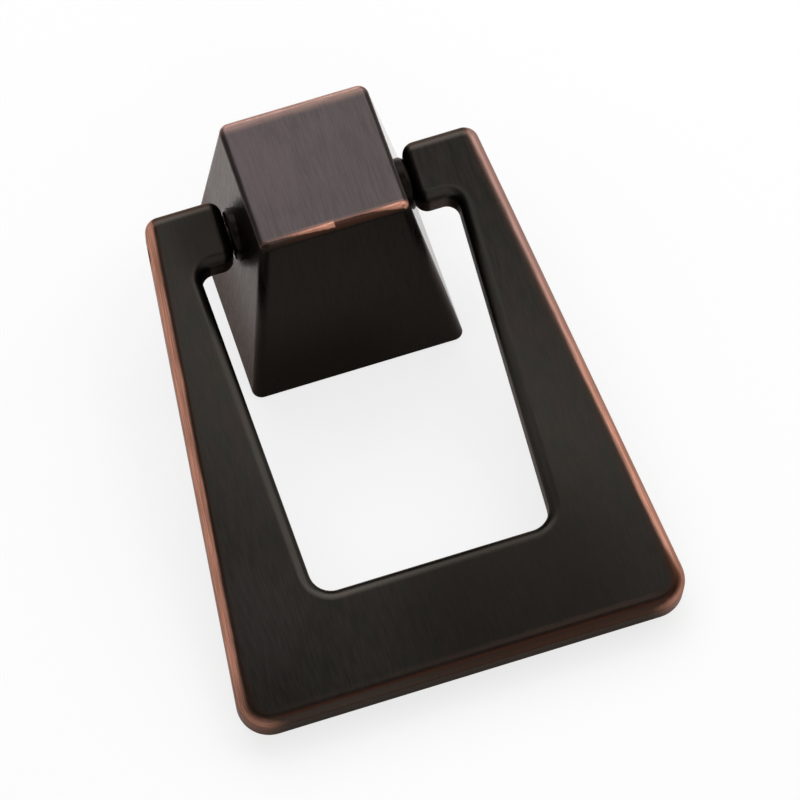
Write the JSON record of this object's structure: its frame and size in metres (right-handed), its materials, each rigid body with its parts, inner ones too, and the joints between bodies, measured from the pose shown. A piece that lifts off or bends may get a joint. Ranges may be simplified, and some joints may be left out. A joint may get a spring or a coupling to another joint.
{
  "type": "pendant drawer pull",
  "caption": "Pendant drawer pull: a square tapered post carries a flat, flared ring that swings on pivot pins and leaves a window for a fingertip.",
  "frame": {"origin": "centre of the post's mounting face, at the mouth of the tapped hole", "axes": "+Z out of the drawer front along the mounting screw, X along the pivot pins, +Y up in use, so the ring hangs towards -Y"},
  "size_m": [0.045, 0.0585, 0.022],
  "materials": {
    "post_bronze": "satin dark bronze over a zinc casting, rubbed to copper on the outer face's edges",
    "ring_bronze": "satin dark bronze over a zinc casting, rubbed to copper on the outer edges",
    "pin_steel": "darkened steel"
  },
  "bodies": {
    "base": {"post": "post_bronze"},
    "pull": {"ring": "ring_bronze", "pivot_pin_left": "pin_steel", "pivot_pin_right": "pin_steel"}
  },
  "joints": [
    {"name": "ring_swing", "type": "hinge", "parent": "base", "child": "pull", "pos_m": [0, 0, 0.0136], "axis": [-1, 0, 0], "range_deg": [0, 207.5]}
  ]
}
